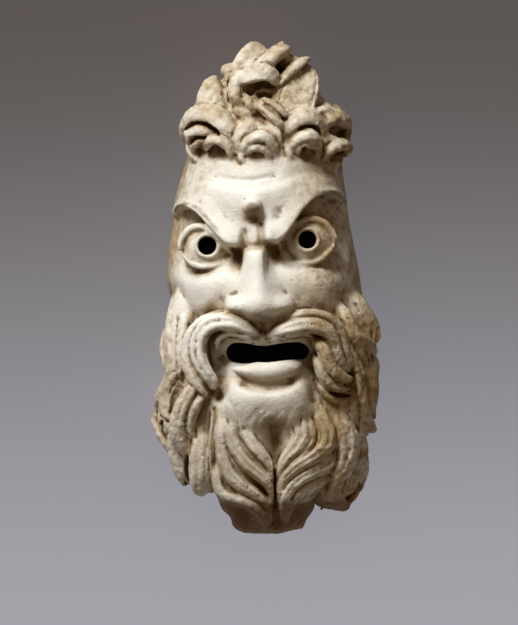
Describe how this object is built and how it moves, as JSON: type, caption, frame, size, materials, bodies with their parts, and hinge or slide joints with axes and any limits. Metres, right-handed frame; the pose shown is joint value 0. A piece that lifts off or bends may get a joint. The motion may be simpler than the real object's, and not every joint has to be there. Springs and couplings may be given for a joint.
{
  "type": "marble mask",
  "caption": "Hollow-backed carved marble theatre mask: a scowling face with piled curls, long beard, open mouth and drilled pupils.",
  "frame": {"origin": "middle of the overall outline, on the plane of the flat back rim that the mask lies on", "axes": "+Z the way the face looks, away from the rim; +Y from the beard to the hair; +X to the right of someone who looks at the face"},
  "size_m": [0.1554, 0.3408, 0.103],
  "materials": {
    "marble": "worn ivory marble, softly polished on the high parts, with brown patina in the recesses"
  },
  "bodies": {
    "root": {"marble_mask": "marble"}
  },
  "joints": []
}
